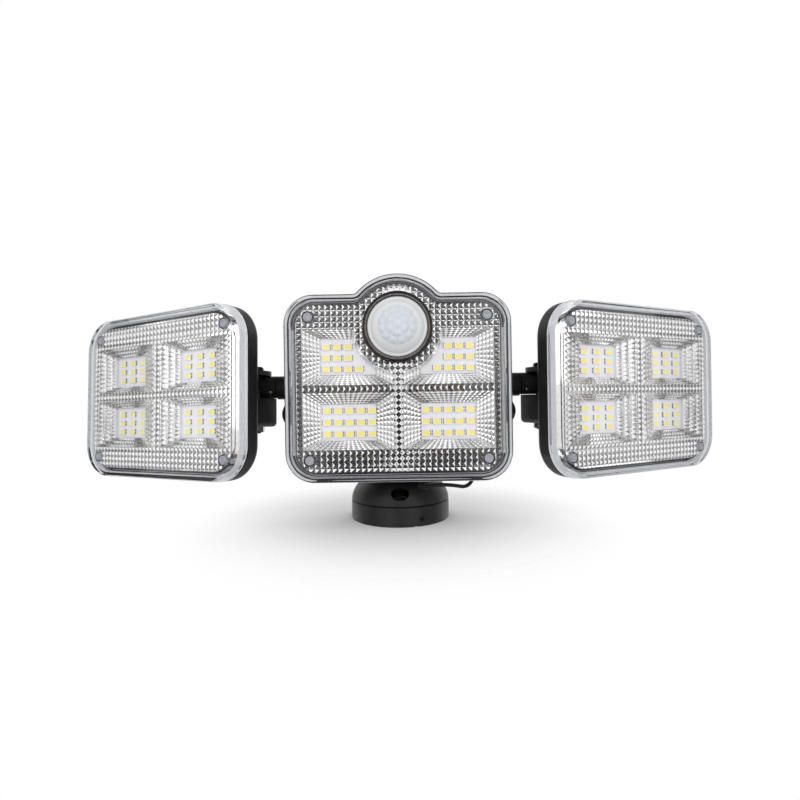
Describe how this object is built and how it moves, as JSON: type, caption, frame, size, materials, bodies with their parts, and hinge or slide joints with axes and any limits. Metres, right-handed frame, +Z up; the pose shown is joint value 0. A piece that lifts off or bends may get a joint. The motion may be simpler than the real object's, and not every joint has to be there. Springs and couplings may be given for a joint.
{
  "type": "motion sensor security light",
  "caption": "Three head motion sensor security light: square main head with a domed sensor, folding side heads on swivel arms, and a round swivel base.",
  "frame": {"origin": "centre of the flat underside of the round base, which stands on the ground plane or lies on the wall", "axes": "+Z up through the dome, -Y the way the main head faces, X along the row of heads, +X to the right seen from the front"},
  "size_m": [0.3025, 0.0619, 0.1048],
  "materials": {
    "black_plastic": "fine moulded satin black",
    "clear_cover": "clear gloss polycarbonate",
    "metallised_reflector": "bright metallised plastic with moulded studs",
    "board_white": "white solder mask",
    "led_yellow": "yellow phosphor in a white package",
    "lens_white": "milky translucent with moulded facets",
    "collar_dark": "dark gloss ring",
    "seal_rubber": "soft black silicone",
    "lead_rubber": "black sheath",
    "screw_steel": "bright plated",
    "bolt_black": "black oxide",
    "sensor_metal": "drawn metal can",
    "circuit_green": "green solder mask",
    "cell_blue": "shrink wrap"
  },
  "bodies": {
    "base": {"wall_plate": "black_plastic", "base_ring": "black_plastic", "base_screws": "screw_steel", "pivot_stud": "screw_steel", "stud_clip": "screw_steel"},
    "turret": {"turret": "black_plastic", "lock_screw": "bolt_black", "tilt_bolt": "bolt_black", "tilt_nut": "screw_steel", "dome_grommet": "seal_rubber"},
    "main_head": {"main_housing": "black_plastic", "rear_cover": "black_plastic", "rear_seal": "seal_rubber", "rear_cover_screws": "screw_steel", "main_seal": "seal_rubber", "main_cover": "clear_cover", "main_cover_screws": "screw_steel", "main_reflector": "metallised_reflector", "main_led_board": "board_white", "main_leds": "led_yellow", "sensor_collar": "collar_dark", "sensor_lens": "lens_white", "sensor_element": "sensor_metal", "control_board": "circuit_green", "battery_cell": "cell_blue", "power_switch": "bolt_black", "supply_gland": "seal_rubber", "supply_lead": "lead_rubber", "lead_grommets": "seal_rubber", "left_lead": "lead_rubber", "right_lead": "lead_rubber"},
    "power_button": {"power_button": "seal_rubber"},
    "left_arm": {"left_arm_upper": "black_plastic", "left_arm_lower": "black_plastic", "left_swivel_pin": "black_plastic", "left_retaining_ring": "screw_steel", "left_arm_screws": "screw_steel"},
    "left_head": {"left_housing": "black_plastic", "left_hinge_bolt": "bolt_black", "left_hinge_nut": "screw_steel", "left_seal": "seal_rubber", "left_cover": "clear_cover", "left_cover_screws": "screw_steel", "left_reflector": "metallised_reflector", "left_led_board": "board_white", "left_leds": "led_yellow"},
    "right_arm": {"right_arm_upper": "black_plastic", "right_arm_lower": "black_plastic", "right_swivel_pin": "black_plastic", "right_retaining_ring": "screw_steel", "right_arm_screws": "screw_steel"},
    "right_head": {"right_housing": "black_plastic", "right_hinge_bolt": "bolt_black", "right_hinge_nut": "screw_steel", "right_seal": "seal_rubber", "right_cover": "clear_cover", "right_cover_screws": "screw_steel", "right_reflector": "metallised_reflector", "right_led_board": "board_white", "right_leds": "led_yellow"}
  },
  "joints": [
    {"name": "base_pan", "type": "hinge", "parent": "base", "child": "turret", "pos_m": [0, 0, 0.0086], "axis": [0, 0, 1], "range_deg": [-170, 170]},
    {"name": "head_tilt", "type": "hinge", "parent": "turret", "child": "main_head", "pos_m": [0, 0, 0.03], "axis": [-1, 0, 0], "range_deg": [0, 90], "deforming": ["supply_lead"]},
    {"name": "left_arm_tilt", "type": "hinge", "parent": "main_head", "child": "left_arm", "pos_m": [-0.056, 0, 0.0598], "axis": [1, 0, 0], "range_deg": [-27.2, 32.8]},
    {"name": "left_head_fold", "type": "hinge", "parent": "left_arm", "child": "left_head", "pos_m": [-0.0655, 0, 0.0598], "axis": [0, 0.0489, 0.9988], "range_deg": [-64.2, 25.8]},
    {"name": "right_arm_tilt", "type": "hinge", "parent": "main_head", "child": "right_arm", "pos_m": [0.056, 0, 0.0598], "axis": [1, 0, 0], "range_deg": [-30, 30]},
    {"name": "right_head_fold", "type": "hinge", "parent": "right_arm", "child": "right_head", "pos_m": [0.0655, 0, 0.0598], "axis": [0, 0, 1], "range_deg": [-24.8, 65.2]},
    {"name": "power_press", "type": "slide", "parent": "main_head", "child": "power_button", "axis": [0, -1, 0], "range_m": [0, 0.001], "stiffness_N_per_m": 300}
  ]
}
